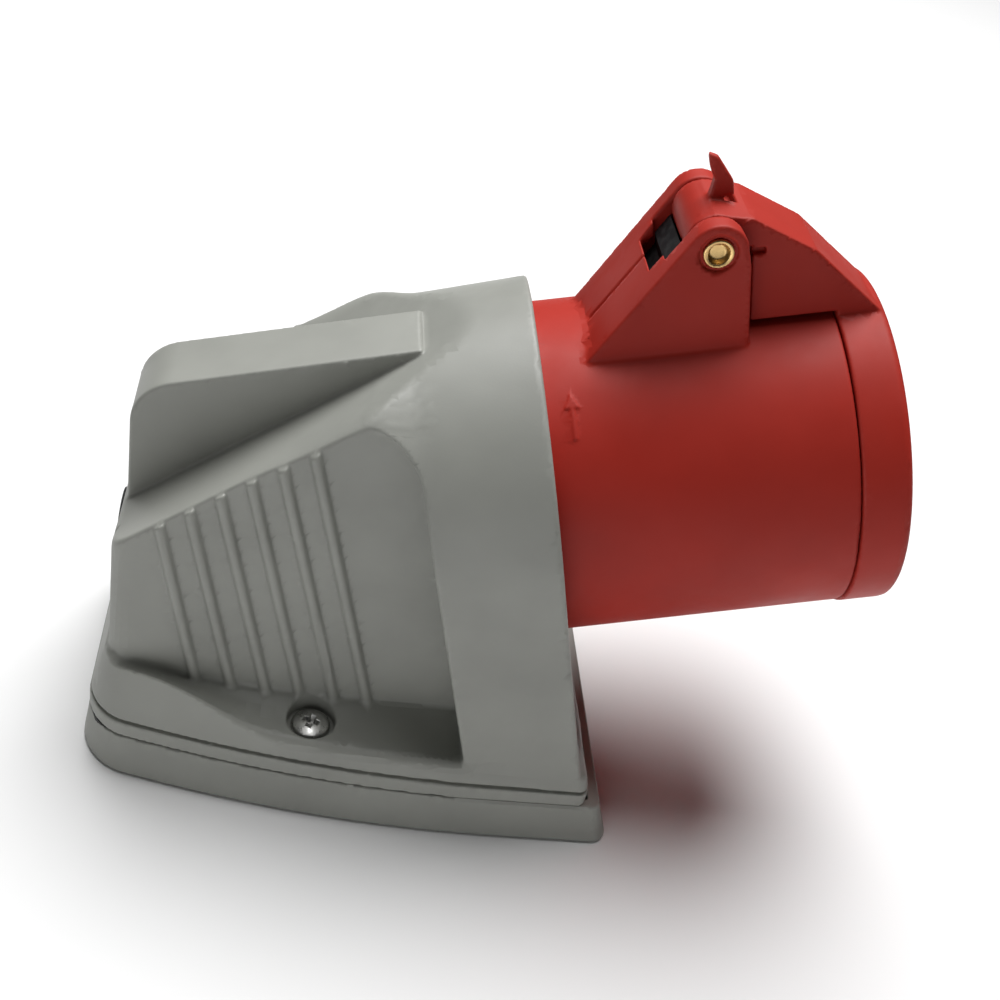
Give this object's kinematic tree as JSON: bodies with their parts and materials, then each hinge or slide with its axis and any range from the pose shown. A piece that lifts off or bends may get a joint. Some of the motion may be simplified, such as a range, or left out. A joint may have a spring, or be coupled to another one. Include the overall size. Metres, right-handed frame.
{
  "type": "generator inlet box",
  "caption": "Wall-mounted power inlet box with a domed grey shell on a wall tray and a slanted round red inlet under a sprung hinged lid.",
  "frame": {"origin": "middle of the mounting holes on the flat back face, which lies on the wall", "axes": "+Z out of the wall, +X towards the inlet's mouth, Y across the box"},
  "size_m": [0.214, 0.1152, 0.1847],
  "materials": {
    "grey_plastic": "satin moulded",
    "red_plastic": "satin moulded",
    "black_plastic": "matte moulded",
    "seal_rubber": "matte",
    "contact_brass": "satin",
    "zinc_steel": "zinc plated"
  },
  "bodies": {
    "housing": {"base_plate": "grey_plastic", "base_gasket": "seal_rubber", "housing_shell": "grey_plastic", "cover_screws": "zinc_steel", "cable_grommet": "seal_rubber", "sleeve_gasket": "seal_rubber", "cable_clamp": "zinc_steel", "clamp_screws": "zinc_steel", "earth_terminal": "contact_brass", "earth_screw": "zinc_steel"},
    "inlet": {"inlet_sleeve": "red_plastic", "contact_carrier": "black_plastic", "pin_shroud": "red_plastic", "pin_l1": "contact_brass", "pin_l2": "contact_brass", "pin_l3": "contact_brass", "pin_n": "contact_brass", "pin_pe": "contact_brass", "terminal_clamps": "contact_brass", "terminal_screws": "zinc_steel", "carrier_screws": "zinc_steel", "hinge_pin": "contact_brass", "spring_seat": "black_plastic"},
    "lid": {"lid": "red_plastic", "lid_gasket": "seal_rubber", "lid_spring": "zinc_steel"}
  },
  "joints": [
    {"name": "bayonet", "type": "hinge", "parent": "housing", "child": "inlet", "pos_m": [0.055, 0, 0.092], "axis": [0.9613, 0, 0.2756], "range_deg": [0, 20]},
    {"name": "lid_hinge", "type": "hinge", "parent": "inlet", "child": "lid", "pos_m": [0.06724, 0, 0.16687], "axis": [0, -1, 0], "range_deg": [0, 105], "stiffness_Nm_per_rad": 0.05, "springref_deg": -85.94}
  ]
}
